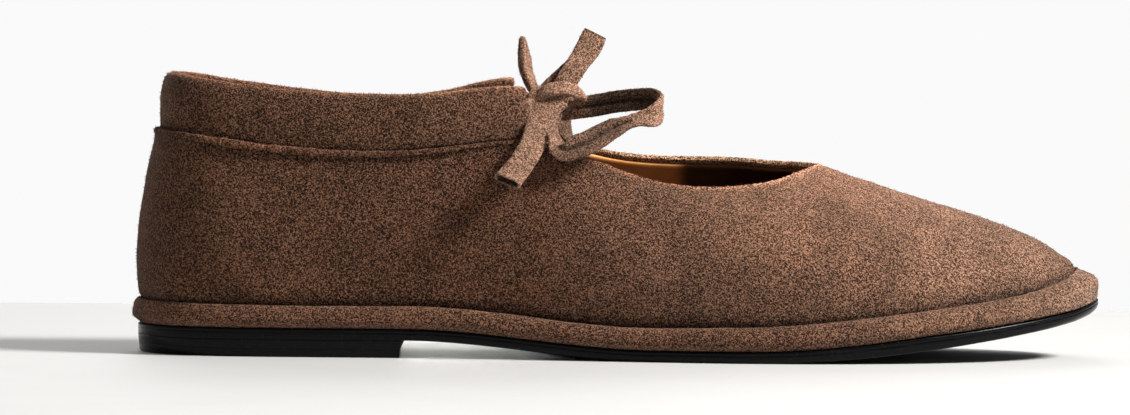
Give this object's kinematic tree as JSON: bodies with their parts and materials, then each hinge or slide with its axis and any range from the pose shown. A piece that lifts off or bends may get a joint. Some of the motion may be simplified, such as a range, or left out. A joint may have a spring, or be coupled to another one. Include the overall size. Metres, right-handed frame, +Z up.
{
  "type": "ballet flat",
  "caption": "Right suede ballet flat with a soft rolled welt, a thin black sole with a low heel, and a folded ankle collar closed by a flat drawstring bow.",
  "frame": {"origin": "on the floor, under the middle of the shoe's box without its bow", "axes": "+X from heel to toe, +Y towards the inner (medial) side, +Z up from the floor"},
  "size_m": [0.262, 0.0882, 0.0891],
  "materials": {
    "black_sole": "satin black",
    "brown_suede": "napped suede",
    "tan_lining": "smooth lining leather"
  },
  "bodies": {
    "root": {"outsole": "black_sole", "heel": "black_sole", "midsole": "brown_suede", "insole": "tan_lining", "upper": "brown_suede", "collar": "brown_suede", "lace_bar": "brown_suede", "lace_knot": "brown_suede", "lace_loop_front": "brown_suede", "lace_loop_back": "brown_suede", "lace_end_front": "brown_suede", "lace_end_back": "brown_suede"}
  },
  "joints": []
}
